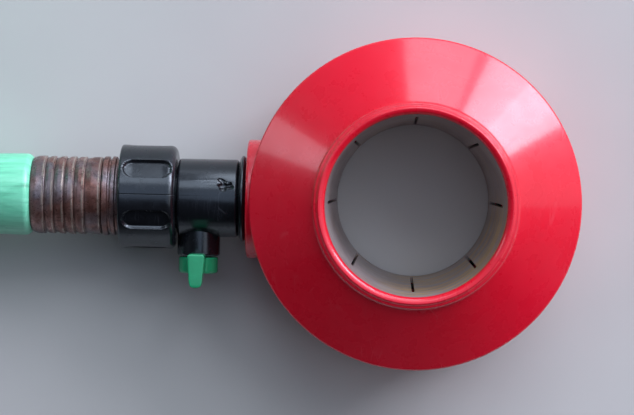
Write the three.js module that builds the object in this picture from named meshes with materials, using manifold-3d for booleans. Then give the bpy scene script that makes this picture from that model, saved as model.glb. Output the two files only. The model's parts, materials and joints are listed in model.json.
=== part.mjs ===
// Ring-head watering wand on the end of a garden hose: an annular water chamber whose slotted inner
// sleeve sprays inward, a quarter-turn shut-off valve, a swivel hose coupling and a short hose.
// Millimetres, +Z up. The head lies on its flat back; the hose side is -X.

import * as THREE from 'three';
import { mergeVertices } from 'three/addons/utils/BufferGeometryUtils.js';
import Module from 'manifold-3d';

const wasm = await Module();
wasm.setup();

// ---------------------------------------------------------------- driving dimensions
const HEAD_X = 22.25;          // ring axis, so that the wand's box is centred on the origin
const INLET_Z = 20.25;         // height of the water inlet's axis

const RIM_R = 55.0;            // outer radius of the ring
const RIM_Z = 40.6;            // parting face between the two shells
const CONE_FOOT = [54.3, 42.3];
const CONE_TOP = [33.9, 56.2];
const LIP_R = 29.6;            // inner radius of the front lip
const CREST_Z = 59.5;          // highest point of the front lip

const HOUSING_R = 52.0;
const HOUSING_IN_R = 49.3;
const FLOOR = 3.0;
const BACK_HOLE_R = 26.0;

const SLEEVE_Z = [1.5, 57.3];
const SLEEVE_R = [26.4, 29.6]; // inner radius at the back and at the front
const SLEEVE_OUT_R = [28.2, 30.5];
const SLOTS = 8;
const SLOT_W = 0.9;
const SLOT_Z = [3.6, 44.0];

const BOSS_R = 20.0;
const BOSS_FACE = -56.3;
const BOSS_BORE_R = 9.6;

const SCREWS = 6;
const SCREW_PCR = 41.0;

const FLANGE = [-58.9, -56.65];
const FLANGE_R = 14.5;
const BODY_R = 13.15;
const BODY_X = [-79.65, -59.2];
const TAIL_R = 10.0;
const TAIL_END = -86.5;
const STEM_X = -72.5;
const STEM_BOSS_R = 7.2;
const STEM_BOSS_Y = -19.6;
const BALL_R = 8.0;
const BALL_BORE_R = 4.8;

const KNOB_R = 6.7;
const KNOB_Y = [-25.5, -19.9];
const BLADE_Y = [-29.9, -18.3];
const BLADE_REACH = 16.0;

const NUT_X = [-99.0, -80.05];
const NUT_R = 17.5;
const NUT_BORE_R = 13.65;
const NUT_RECESSES = 6;

const HOSE_D = 27.3;           // outside diameter of the hose
const FERRULE_X = [-128.9, -105.1];
const FERRULE_R = 13.0;

// hose route, in hose diameters where it is coiled
const COIL_C = [-310.2, 123.8];
const COIL_IN = 3.5, COIL_OUT = 6.5, COIL_LAYERS = 2;
const TAIL_FROM = 1610;        // travel angle at which the last turn climbs onto the coil
const TAIL_TO = 1800;          // travel angle at which it runs out straight
const TAIL_STRAIGHT = 30;
const TAP_Z = COIL_LAYERS * HOSE_D + 17.4;

const RED = 0xd8142c, BLACK = 0x15171b, GREEN = 0x1f8a63, MINT = 0x6fcfa4;
const STEEL = 0x8d8a8c, BRASS = 0xa9824f, COPPER = 0x8a5a48, RUBBER = 0x101010, WHITE = 0xe8e6df;

// ---------------------------------------------------------------- geometry helpers
function closed(geometry) {
  const g = geometry.clone();
  for (const name of Object.keys(g.attributes)) if (name !== 'position') g.deleteAttribute(name);
  const m = mergeVertices(g, 1e-4);
  const p = m.attributes.position;
  const index = m.index.array;
  const keep = [];
  let volume = 0;
  for (let i = 0; i < index.length; i += 3) {
    const [a, b, c] = [index[i], index[i + 1], index[i + 2]];
    if (a === b || b === c || a === c) continue;
    keep.push(a, b, c);
    const A = new THREE.Vector3().fromBufferAttribute(p, a);
    const B = new THREE.Vector3().fromBufferAttribute(p, b);
    const C = new THREE.Vector3().fromBufferAttribute(p, c);
    volume += A.dot(B.cross(C));
  }
  if (volume < 0) for (let i = 0; i < keep.length; i += 3) [keep[i + 1], keep[i + 2]] = [keep[i + 2], keep[i + 1]];
  m.setIndex(keep);
  return m;
}

function toManifold(geometry) {
  const g = closed(geometry);
  return new wasm.Manifold(new wasm.Mesh({
    numProp: 3,
    vertProperties: new Float32Array(g.attributes.position.array),
    triVerts: new Uint32Array(g.index.array),
  }));
}

function fromManifold(solid) {
  const m = solid.getMesh();
  const g = new THREE.BufferGeometry();
  g.setAttribute('position', new THREE.BufferAttribute(new Float32Array(m.vertProperties), 3));
  g.setIndex(new THREE.BufferAttribute(new Uint32Array(m.triVerts), 1));
  return g;
}

// body of revolution about Z through a closed outline of [radius, height]
function turnedZ(outline, segments = 40) {
  const pts = outline.map(([r, z]) => new THREE.Vector2(r, z));
  pts.push(pts[0].clone());
  return new THREE.LatheGeometry(pts, segments).rotateX(Math.PI / 2);
}

// body of revolution about the inlet axis through a closed outline of [radius, x]
function turnedX(outline, segments = 26) {
  const pts = outline.map(([r, x]) => new THREE.Vector2(r, x));
  pts.push(pts[0].clone());
  return new THREE.LatheGeometry(pts, segments).rotateZ(-Math.PI / 2).translate(0, 0, INLET_Z);
}

// body of revolution about the valve stem's axis through a closed outline of [radius, y]
function turnedY(outline, segments = 24) {
  const pts = outline.map(([r, y]) => new THREE.Vector2(r, y));
  pts.push(pts[0].clone());
  return new THREE.LatheGeometry(pts, segments).translate(STEM_X, 0, INLET_Z);
}

function ringOutline(r, at, minor, n = 6) {
  const out = [];
  for (let i = 0; i < n; i++) {
    const a = (i + 0.5) / n * Math.PI * 2;
    out.push([r + minor * Math.cos(a), at + minor * Math.sin(a)]);
  }
  return out;
}

function cylinder(r, length, segments = 24) {
  return new THREE.CylinderGeometry(r, r, length, segments);
}

const group = new THREE.Group();
const wand = new THREE.Group();
wand.position.x = HEAD_X;
group.add(wand);

function piece(parent, name, geometry, color, roughness = 0.4, metalness = 0) {
  const g = closed(geometry);
  g.computeVertexNormals();
  const mesh = new THREE.Mesh(g, new THREE.MeshStandardMaterial({ color, roughness, metalness, flatShading: true }));
  mesh.name = name;
  parent.add(mesh);
  return mesh;
}

// ---------------------------------------------------------------- spray head
const slope = (CONE_TOP[1] - CONE_FOOT[1]) / (CONE_FOOT[0] - CONE_TOP[0]);
const coneUnder = (r) => CONE_FOOT[1] + (CONE_FOOT[0] - r) * slope - 3.15;

const screwAngles = [];
for (let i = 0; i < SCREWS; i++) screwAngles.push((30 + i * 360 / SCREWS) * Math.PI / 180);
const screwAt = (a) => [SCREW_PCR * Math.cos(a), SCREW_PCR * Math.sin(a)];

function uprightCylinder(r, z0, z1, x, y, segments = 10) {
  return cylinder(r, z1 - z0, segments).rotateX(Math.PI / 2).translate(x, y, (z0 + z1) / 2);
}

// front shell: rim, cone and rounded lip, with the spigot that enters the rear shell
{
  let cap = toManifold(turnedZ([
    [RIM_R, RIM_Z], [RIM_R, RIM_Z + 1.0], CONE_FOOT, CONE_TOP,
    [33.7, 57.4], [33.0, 58.7], [31.8, 59.4], [31.1, CREST_Z], [30.4, 59.2], [29.8, 58.5], [LIP_R, 57.6],
    [31.0, 57.6], [31.0, 54.5], [32.9, 54.5], [32.9, 51.9], [30.9, 51.9], [30.9, 50.6],
    [34.6, 50.6], [34.6, coneUnder(34.6)], [46.8, coneUnder(46.8)], [46.8, 36.0], [49.0, 36.0], [49.0, RIM_Z],
  ]));
  const envelope = toManifold(turnedZ([
    [0, 0], [50, 0], [50, coneUnder(50) + 1.4], [34, coneUnder(34) + 1.4], [0, coneUnder(34) + 1.4],
  ], 40));
  for (const a of screwAngles) {
    const [x, y] = screwAt(a);
    cap = cap.add(toManifold(uprightCylinder(3.6, 6.5, 53, x, y)).intersect(envelope));
    cap = cap.subtract(toManifold(uprightCylinder(1.4, 5, 25, x, y, 8)));
  }
  piece(wand, 'front_cone_cap', fromManifold(cap), RED, 0.28);
}

// rear shell: flat back, outer wall, rim flange with its gasket groove, and the round inlet boss
{
  let housing = toManifold(turnedZ([
    [BACK_HOLE_R, 0], [50.6, 0], [51.4, 0.8], [HOUSING_R, 35.4], [54.7, 37.0], [54.7, 40.3],
    [53.6, 40.3], [53.6, 38.5], [51.2, 38.5], [51.2, 40.3], [HOUSING_IN_R, 40.3], [HOUSING_IN_R, FLOOR],
    [33.0, FLOOR], [33.0, 5.0], [30.85, 5.0], [30.85, 1.2], [BACK_HOLE_R, 1.2],
  ]));
  const boss = toManifold(turnedX([
    [0, BOSS_FACE], [18.2, BOSS_FACE], [19.5, BOSS_FACE + 0.6], [BOSS_R, BOSS_FACE + 1.8], [BOSS_R, -40], [0, -40],
  ], 40)).subtract(toManifold(turnedZ([[0, -5], [HOUSING_IN_R + 0.05, -5], [HOUSING_IN_R + 0.05, 60], [0, 60]])));
  housing = housing.add(boss);
  housing = housing.subtract(toManifold(turnedZ([[51.2, 38.5], [53.6, 38.5], [53.6, 45], [51.2, 45]])));
  housing = housing.subtract(toManifold(turnedX([[0, -60], [BOSS_BORE_R, -60], [BOSS_BORE_R, -40], [0, -40]], 24)));
  for (const a of screwAngles) {
    const [x, y] = screwAt(a);
    housing = housing.add(toManifold(uprightCylinder(4.6, 0.4, 6.2, x, y)));
    housing = housing.subtract(toManifold(uprightCylinder(3.3, -1, 3.2, x, y)));
    housing = housing.subtract(toManifold(uprightCylinder(1.7, 0, 8, x, y, 8)));
  }
  piece(wand, 'rear_housing', fromManifold(housing), RED, 0.28);
}

// inner sleeve with eight spray slots
{
  let sleeve = toManifold(turnedZ([
    [SLEEVE_R[0], SLEEVE_Z[0]], [SLEEVE_OUT_R[0], SLEEVE_Z[0]], [SLEEVE_OUT_R[1], SLEEVE_Z[1]], [SLEEVE_R[1], SLEEVE_Z[1]],
  ], 48));
  for (let i = 0; i < SLOTS; i++) {
    const shape = new THREE.Shape();
    const h = SLOT_W / 2;
    shape.moveTo(-h, SLOT_Z[0]).lineTo(h, SLOT_Z[0]).lineTo(h, SLOT_Z[1]).lineTo(-h, SLOT_Z[1]).closePath();
    const slot = new THREE.ExtrudeGeometry(shape, { depth: 14, bevelEnabled: false })
      .rotateX(Math.PI / 2).translate(0, -20, 0).rotateZ(Math.PI + i * 2 * Math.PI / SLOTS);
    sleeve = sleeve.subtract(toManifold(slot));
  }
  piece(wand, 'spray_sleeve', fromManifold(sleeve), STEEL, 0.35, 0.7);
}
piece(wand, 'front_sleeve_oring', turnedZ(ringOutline(31.62, 53.2, 0.95), 32), RUBBER, 0.7);
piece(wand, 'rear_sleeve_oring', turnedZ(ringOutline(29.55, 2.5, 0.98), 32), RUBBER, 0.7);
piece(wand, 'rim_gasket', turnedZ([[51.5, 38.8], [53.3, 38.8], [53.3, 40.3], [51.5, 40.3]], 40), RUBBER, 0.7);

// housing screws, cross recessed, driven from the back
screwAngles.forEach((a, i) => {
  const [x, y] = screwAt(a);
  const outline = [[0, 0.5], [2.9, 0.5], [2.9, 2.8], [1.1, 2.8], [1.1, 21], [0, 22.3]];
  let screw = toManifold(turnedZ(outline, 10));
  screw = screw.subtract(toManifold(new THREE.BoxGeometry(3.2, 0.7, 2.4).translate(0, 0, 0.5)));
  screw = screw.subtract(toManifold(new THREE.BoxGeometry(0.7, 3.2, 2.4).translate(0, 0, 0.5)));
  piece(wand, `housing_screw_${i + 1}`, fromManifold(screw).translate(x, y, 0), STEEL, 0.3, 0.9);
});

// ---------------------------------------------------------------- shut-off valve
// outlet adapter: flanged, screws into the head's boss and into the valve body, holds the outlet seat
piece(wand, 'outlet_adapter', turnedX([
  [5.3, -64.5], [9.1, -64.5], [9.6, -64.0], [9.6, FLANGE[0]], [FLANGE_R - 0.4, FLANGE[0]], [FLANGE_R, FLANGE[0] + 0.4],
  [FLANGE_R, FLANGE[1] - 0.4], [FLANGE_R - 0.4, FLANGE[1]],
  [13.0, FLANGE[1]], [13.0, FLANGE[1] - 1.45], [10.6, FLANGE[1] - 1.45], [10.6, FLANGE[1]],
  [9.3, FLANGE[1]], [9.3, -46.7], [5.3, -46.7],
], 26), BLACK, 0.35);
piece(wand, 'inlet_oring', turnedX(ringOutline(11.8, FLANGE[1] - 0.72, 0.58), 28), RUBBER, 0.7);

// valve body with its stem boss and the tail that carries the coupling nut
{
  let body = toManifold(turnedX([
    [5.5, TAIL_END], [9.5, TAIL_END], [TAIL_R, TAIL_END + 0.45], [9.2, TAIL_END + 0.45], [9.2, -84.15], [TAIL_R, -84.15],
    [TAIL_R, BODY_X[0] + 0.02], [12.3, BODY_X[0]], [BODY_R, BODY_X[0] + 0.9], [BODY_R, BODY_X[1] - 0.9], [12.3, BODY_X[1]],
    [9.9, BODY_X[1]], [9.9, -64.8], [8.55, -64.8], [8.55, -80.7], [5.5, -80.7],
  ], 30));
  const boss = toManifold(turnedY([
    [0, STEM_BOSS_Y], [6.5, STEM_BOSS_Y], [STEM_BOSS_R, STEM_BOSS_Y + 0.7], [STEM_BOSS_R, -9.6], [0, -9.6],
  ], 28));
  const pocket = toManifold(turnedY([
    [0, -25], [5.0, -25], [5.0, -15.6], [4.2, -15.6], [4.2, -10.3], [4.9, -10.3], [4.9, -5], [0, -5],
  ], 20));
  body = body.add(boss).subtract(pocket);
  piece(wand, 'valve_body', fromManifold(body), BLACK, 0.35);
}

// ball, bored across the flow when the valve is shut, slotted for the stem
{
  const ball = new THREE.SphereGeometry(BALL_R, 24, 14).rotateX(Math.PI / 2);
  let solid = toManifold(ball);
  solid = solid.subtract(toManifold(cylinder(BALL_BORE_R, 20, 20).rotateX(Math.PI / 2)));
  solid = solid.subtract(toManifold(new THREE.BoxGeometry(3.2, 4, 20).translate(0, -8, 0)));
  piece(wand, 'valve_ball', fromManifold(solid).translate(STEM_X, 0, INLET_Z), STEEL, 0.15, 1.0);
}
const seat = (side) => turnedX([
  [8.2, STEM_X + side * 3.5], [6.9, STEM_X + side * 4.8], [6.1, STEM_X + side * 5.75], [5.4, STEM_X + side * 6.45],
  [5.4, STEM_X + side * 7.6], [8.2, STEM_X + side * 7.6],
], 20);
piece(wand, 'ball_seat_inlet', seat(-1), WHITE, 0.4);
piece(wand, 'ball_seat_outlet', seat(1), WHITE, 0.4);

// stem with its blow-out flange, tongue, seal groove and screw hole
{
  let stem = toManifold(turnedY([
    [0, -8.5], [4.5, -8.5], [4.5, -9.9], [3.85, -9.9], [3.85, -12.4], [2.7, -12.4], [2.7, -14.4], [3.85, -14.4],
    [3.85, -19.6], [2.6, -19.6], [2.6, -23.6], [1.6, -23.6], [1.6, -17.2], [0, -17.2],
  ], 20));
  stem = stem.add(toManifold(new THREE.BoxGeometry(2.5, 3.0, 6.2).translate(STEM_X, -7.9, INLET_Z)));
  stem = stem.subtract(toManifold(new THREE.BoxGeometry(8, 4.2, 1).translate(STEM_X, -21.9, INLET_Z + 2.7)));
  piece(wand, 'valve_stem', fromManifold(stem), BRASS, 0.3, 0.9);
}
piece(wand, 'stem_oring', turnedY(ringOutline(3.42, -13.4, 0.52), 20), RUBBER, 0.7);
piece(wand, 'stem_gland', turnedY([[4.15, -15.9], [4.75, -15.9], [4.75, -19.3], [4.15, -19.3]], 20), BRASS, 0.3, 0.9);

// lever: round hub with a tapered blade that stands off it
{
  let hub = toManifold(turnedY([
    [0, KNOB_Y[0]], [6.1, KNOB_Y[0]], [KNOB_R, KNOB_Y[0] + 0.6], [KNOB_R, KNOB_Y[1]], [0, KNOB_Y[1]],
  ], 28));
  const blade = new THREE.Shape();
  blade.moveTo(2.9, BLADE_Y[1]).lineTo(2.15, BLADE_Y[0] + 1.9);
  blade.quadraticCurveTo(2.0, BLADE_Y[0], 0, BLADE_Y[0]).quadraticCurveTo(-2.0, BLADE_Y[0], -2.15, BLADE_Y[0] + 1.9);
  blade.lineTo(-2.9, BLADE_Y[1]).closePath();
  let fin = toManifold(new THREE.ExtrudeGeometry(blade, { depth: BLADE_REACH - 3, bevelEnabled: false, curveSegments: 5 })
    .translate(STEM_X, 0, INLET_Z + 3));
  // rounded in side view, and cut clear of the body's boss
  const side = new THREE.Shape();
  side.moveTo(-1, -25.5).lineTo(5, -25.5).quadraticCurveTo(8, -26, 10, BLADE_Y[0]).lineTo(BLADE_REACH - 2.5, BLADE_Y[0] - 0.1);
  side.quadraticCurveTo(BLADE_REACH, BLADE_Y[0], BLADE_REACH, BLADE_Y[0] + 2.5).lineTo(BLADE_REACH, BLADE_Y[1] - 2.0);
  side.quadraticCurveTo(BLADE_REACH, BLADE_Y[1], BLADE_REACH - 2, BLADE_Y[1] + 0.01).lineTo(7.7, BLADE_Y[1] + 0.01);
  side.lineTo(7.7, -19.9).lineTo(-1, -19.9).closePath();
  const envelope = new THREE.ExtrudeGeometry(side, { depth: 10, bevelEnabled: false, curveSegments: 6 })
    .translate(0, 0, -5).rotateY(-Math.PI / 2).translate(STEM_X, 0, INLET_Z);
  fin = fin.intersect(toManifold(envelope));
  hub = hub.add(fin);
  hub = hub.subtract(toManifold(turnedY([
    [0, -30], [3.0, -30], [3.0, -24.0], [2.9, -23.9], [2.9, -19], [0, -19],
  ], 16)));
  piece(wand, 'valve_lever', fromManifold(hub), GREEN, 0.3);
}
piece(wand, 'lever_screw', turnedY([
  [0, -25.3], [2.3, -25.3], [2.6, -25.0], [2.6, -24.0], [1.3, -24.0], [1.3, -17.6], [0, -17.6],
], 14), STEEL, 0.25, 0.9);

// ---------------------------------------------------------------- swivel coupling
// nut with six shallow stadium recesses; its inner collar runs behind the retaining ring
{
  let nut = toManifold(turnedX([
    [NUT_BORE_R, NUT_X[0]], [NUT_R - 0.8, NUT_X[0]], [NUT_R, NUT_X[0] + 0.8], [NUT_R, NUT_X[1] - 2.6],
    [NUT_R - 0.7, NUT_X[1] - 1.0], [NUT_R - 2.4, NUT_X[1]], [10.4, NUT_X[1]], [10.4, -84.0], [NUT_BORE_R, -84.0],
  ], 36));
  const half = 16.4 / 2, r = 3.5;
  for (let i = 0; i < NUT_RECESSES; i++) {
    const s = new THREE.Shape();
    s.moveTo(-half + r, -r).lineTo(half - r, -r).absarc(half - r, 0, r, -Math.PI / 2, Math.PI / 2, false);
    s.lineTo(-half + r, r).absarc(-half + r, 0, r, Math.PI / 2, Math.PI * 1.5, false);
    const pocket = new THREE.ExtrudeGeometry(s, { depth: 6, bevelEnabled: false, curveSegments: 4 })
      .translate((NUT_X[0] + NUT_X[1]) / 2 + 0.2, 0, NUT_R - 1.1)
      .rotateX((-35 + i * 360 / NUT_RECESSES) * Math.PI / 180).translate(0, 0, INLET_Z);
    nut = nut.subtract(toManifold(pocket));
  }
  piece(wand, 'coupling_nut', fromManifold(nut), BLACK, 0.35);
}
// open snap ring that keeps the nut on the valve's tail
{
  const s = new THREE.Shape();
  const gap = 0.35;
  s.absarc(0, 0, 12.6, gap, 2 * Math.PI - gap, false);
  s.absarc(0, 0, 9.5, 2 * Math.PI - gap, gap, true);
  s.closePath();
  piece(wand, 'nut_snap_ring', new THREE.ExtrudeGeometry(s, { depth: 1.35, bevelEnabled: false, curveSegments: 16 })
    .rotateY(-Math.PI / 2).rotateX(0.9).translate(-84.45, 0, INLET_Z), STEEL, 0.3, 0.9);
}
piece(wand, 'hose_washer', turnedX([[7.3, -89.2], [13.2, -89.2], [13.2, -86.85], [7.3, -86.85]], 28), RUBBER, 0.7);

// ---------------------------------------------------------------- male hose end
piece(wand, 'male_fitting', turnedX([
  [7.0, -89.5], [12.5, -89.5], [13.25, -90.2], [13.25, -99.6], [13.3, -99.9],
  [13.3, -101.9], [12.6, -101.9], [12.6, -102.9], [13.3, -102.9], [13.3, -104.8],
  [9.3, -104.8], [9.3, -127.4], [7.0, -127.4],
], 26), BRASS, 0.35, 0.9);

function ferrule(x0, x1) {
  const out = [[12.35, x0], [FERRULE_R, x0]];
  for (const k of [0.27, 0.5, 0.73]) {
    const x = x0 + k * (x1 - x0);
    out.push([FERRULE_R, x - 1.2], [FERRULE_R - 0.45, x]);
  }
  out.push([FERRULE_R, x1 - 0.4], [FERRULE_R - 0.4, x1], [9.7, x1], [9.7, x1 - 0.9], [12.35, x1 - 0.9]);
  return turnedX(out, 24);
}
piece(wand, 'male_ferrule', ferrule(FERRULE_X[0], FERRULE_X[1]), COPPER, 0.35, 0.9);
piece(wand, 'hose_crimped_end', turnedX([
  [9.7, FERRULE_X[0] + 0.1], [12.0, FERRULE_X[0] + 0.1], [12.0, FERRULE_X[1] - 1.3], [9.7, FERRULE_X[1] - 1.3],
], 24), MINT, 0.5);

// ---------------------------------------------------------------- hose route
const smooth = (t) => { const k = Math.min(1, Math.max(0, t)); return k * k * (3 - 2 * k); };

// radius and height of the coiled hose's centreline at a travel angle in degrees, in hose diameters
function coilAt(T) {
  let r = 6.0, z = 0.5;
  for (const [a, b, dr] of [[220, 340, -1], [580, 700, -1], [1060, 1180, 1], [1420, 1540, 1]]) r += dr * smooth((T - a) / (b - a));
  z += smooth((T - 820) / 120);
  const psi = Math.PI / 2 * smooth((T - TAIL_FROM) / 120);
  r += Math.cos(psi) - 1 - 0.5 * smooth((T - TAIL_FROM - 100) / 80);
  z += Math.sin(psi);
  return [r, z];
}

const mouthX = FERRULE_X[0] + HEAD_X;
const bendX = -150 + HEAD_X;
const enterY = COIL_C[1] - 6 * HOSE_D;
const line = [];
for (let i = 0; i < 120; i++) {
  const x = mouthX + (COIL_C[0] - mouthX) * i / 120;
  const y = enterY * smooth((bendX - x) / (bendX - COIL_C[0]));
  const z = INLET_Z + (HOSE_D / 2 - INLET_Z) * smooth((mouthX - x) / 110);
  line.push(new THREE.Vector3(x, y, z));
}
const coilFrom = line.length;
for (let T = 0; T < TAIL_TO; T += 4) {
  const [r, z] = coilAt(T);
  const phi = (-90 - T) * Math.PI / 180;
  line.push(new THREE.Vector3(COIL_C[0] + r * HOSE_D * Math.cos(phi), COIL_C[1] + r * HOSE_D * Math.sin(phi), z * HOSE_D));
}
{
  const [r, z] = coilAt(TAIL_TO);
  for (let i = 0; i <= 12; i++)
    line.push(new THREE.Vector3(COIL_C[0] - TAIL_STRAIGHT * i / 12, COIL_C[1] - r * HOSE_D, z * HOSE_D));
}
const along = [0];
for (let i = 1; i < line.length; i++) along.push(along[i - 1] + line[i].distanceTo(line[i - 1]));
const hoseLength = along[along.length - 1];
line.forEach((p, i) => { p.z += (TAP_Z - (COIL_LAYERS + 0.5) * HOSE_D) * smooth((along[i] - (hoseLength - 150)) / 120); });

function hoseTube(points, steps) {
  const section = new THREE.Shape();
  const n = 10;
  for (let i = 0; i < n; i++) {
    const a = (i + 0.5) / n * Math.PI * 2;
    const [x, y] = [HOSE_D / 2 * Math.cos(a), HOSE_D / 2 * Math.sin(a)];
    if (i === 0) section.moveTo(x, y); else section.lineTo(x, y);
  }
  section.closePath();
  return new THREE.ExtrudeGeometry(section, { steps, bevelEnabled: false, extrudePath: new THREE.CatmullRomCurve3(points) });
}

// free stretch up to where it comes against the coil
const clearOfCoil = line.slice(0, coilFrom).filter((p) =>
  Math.hypot(p.x - COIL_C[0], p.y - COIL_C[1]) > (COIL_OUT + 0.5) * HOSE_D + 1.5);
const runPoints = clearOfCoil.map((p) => p.clone());
runPoints[0].x -= 0.35;
piece(group, 'hose_run', hoseTube(runPoints.filter((p, i) => i % 6 === 0 || i === runPoints.length - 1), 6), MINT, 0.5);

// coil: the outline of its turns, two layers of three, hollowed from the inside to the hose's own mass
{
  const w = 0.27 * HOSE_D, a = COIL_IN * HOSE_D, b = COIL_OUT * HOSE_D, h = COIL_LAYERS * HOSE_D, c = 0.25 * HOSE_D;
  piece(group, 'hose_coil', turnedZ([
    [a, 0], [b - c, 0], [b, c], [b, h - c], [b - c, h], [a, h], [a, h - w], [b - w, h - w], [b - w, w], [a, w],
  ], 36).translate(COIL_C[0], COIL_C[1], 0), MINT, 0.5);
}

// last stretch, lying on the coil
const topPoints = line.filter((p, i) => i > coilFrom && p.z > (COIL_LAYERS + 0.5) * HOSE_D + 0.35 - 1e-6 && along[i] > hoseLength - 600);
topPoints[topPoints.length - 1].x += 0.35;
piece(group, 'hose_tail', hoseTube(topPoints.filter((p, i) => i % 4 === 0 || i === topPoints.length - 1), 7), MINT, 0.5);

// ---------------------------------------------------------------- tap end of the hose
const tap = new THREE.Group();
tap.position.set(line[line.length - 1].x, line[line.length - 1].y, TAP_Z - INLET_Z);
group.add(tap);
piece(tap, 'tap_ferrule', ferrule(0, 23.8).rotateZ(Math.PI), COPPER, 0.35, 0.9);
piece(tap, 'tap_hose_crimped_end', turnedX([[9.7, -0.1], [12.0, -0.1], [12.0, -22.5], [9.7, -22.5]], 24), MINT, 0.5);
piece(tap, 'tap_tail', turnedX([
  [7.0, -1.6], [9.3, -1.6], [9.3, -24.1], [10.4, -24.1], [10.4, -33.0], [12.6, -33.0], [12.6, -35.4], [7.0, -35.4],
], 28), BRASS, 0.35, 0.9);
{
  let nut = toManifold(turnedX([
    [10.8, -25.0], [15.2, -25.0], [16.4, -26.0], [16.4, -42.6], [15.6, -43.6], [NUT_BORE_R, -43.6], [NUT_BORE_R, -32.6], [10.8, -32.6],
  ], 32));
  const s = new THREE.Shape();
  for (let i = 0; i < 8; i++) {
    const a = (i + 0.5) * Math.PI / 4;
    const [x, y] = [16.9 * Math.cos(a), 16.9 * Math.sin(a)];
    if (i === 0) s.moveTo(x, y); else s.lineTo(x, y);
  }
  s.closePath();
  const flats = new THREE.ExtrudeGeometry(s, { depth: 30, bevelEnabled: false }).rotateY(-Math.PI / 2).translate(-20, 0, INLET_Z);
  piece(tap, 'tap_swivel_nut', fromManifold(nut.intersect(toManifold(flats))), BRASS, 0.35, 0.9);
}
piece(tap, 'tap_washer', turnedX([[7.4, -38.2], [13.1, -38.2], [13.1, -35.75], [7.4, -35.75]], 28), RUBBER, 0.7);

export default group;
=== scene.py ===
import math

import bmesh
import bpy
import numpy as np
from mathutils import Matrix, Vector
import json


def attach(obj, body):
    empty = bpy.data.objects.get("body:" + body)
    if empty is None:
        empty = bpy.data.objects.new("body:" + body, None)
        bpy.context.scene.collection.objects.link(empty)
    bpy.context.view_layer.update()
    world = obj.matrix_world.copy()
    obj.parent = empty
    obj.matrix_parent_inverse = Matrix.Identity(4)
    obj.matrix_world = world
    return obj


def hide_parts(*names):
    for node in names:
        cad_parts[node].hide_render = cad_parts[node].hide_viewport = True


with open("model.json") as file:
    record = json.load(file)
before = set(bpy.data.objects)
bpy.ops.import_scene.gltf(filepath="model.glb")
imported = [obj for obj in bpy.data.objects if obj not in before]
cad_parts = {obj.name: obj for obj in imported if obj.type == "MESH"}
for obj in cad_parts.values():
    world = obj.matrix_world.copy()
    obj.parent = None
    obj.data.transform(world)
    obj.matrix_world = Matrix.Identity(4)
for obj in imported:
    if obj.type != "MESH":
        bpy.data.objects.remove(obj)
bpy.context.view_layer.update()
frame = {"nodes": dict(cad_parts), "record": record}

MM = 0.001
HX, IZ = 22.25, 20.25  # ring axis in X, height of the inlet's axis
SEG = 1


# ------------------------------------------------------------------ camera
def aim(obj, place, target, roll):
    c, t = np.array(place, float), np.array(target, float)
    fwd = (t - c) / np.linalg.norm(t - c)
    up0 = np.array((math.sin(roll), math.cos(roll), 0.0))
    right = np.cross(fwd, up0)
    right /= np.linalg.norm(right)
    up = np.cross(right, fwd)
    m = Matrix(((right[0], up[0], -fwd[0], c[0]), (right[1], up[1], -fwd[1], c[1]), (right[2], up[2], -fwd[2], c[2]), (0, 0, 0, 1)))
    obj.matrix_world = m


cam_data = bpy.data.cameras.new("camera")
cam = bpy.data.objects.new("camera", cam_data)
bpy.context.scene.collection.objects.link(cam)
aim(cam, ((HX - 17.03) * MM, 27.27 * MM, 900 * MM), ((HX - 32.35) * MM, -1.74 * MM, 41 * MM), -0.0209)
cam_data.sensor_width = 36
cam_data.lens = 2601.8 / 634 * 36
cam_data.clip_start, cam_data.clip_end = 0.01, 50
bpy.context.scene.camera = cam
bpy.context.scene.view_settings.view_transform = "Standard"
bpy.context.scene.view_settings.look = "None"


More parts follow.
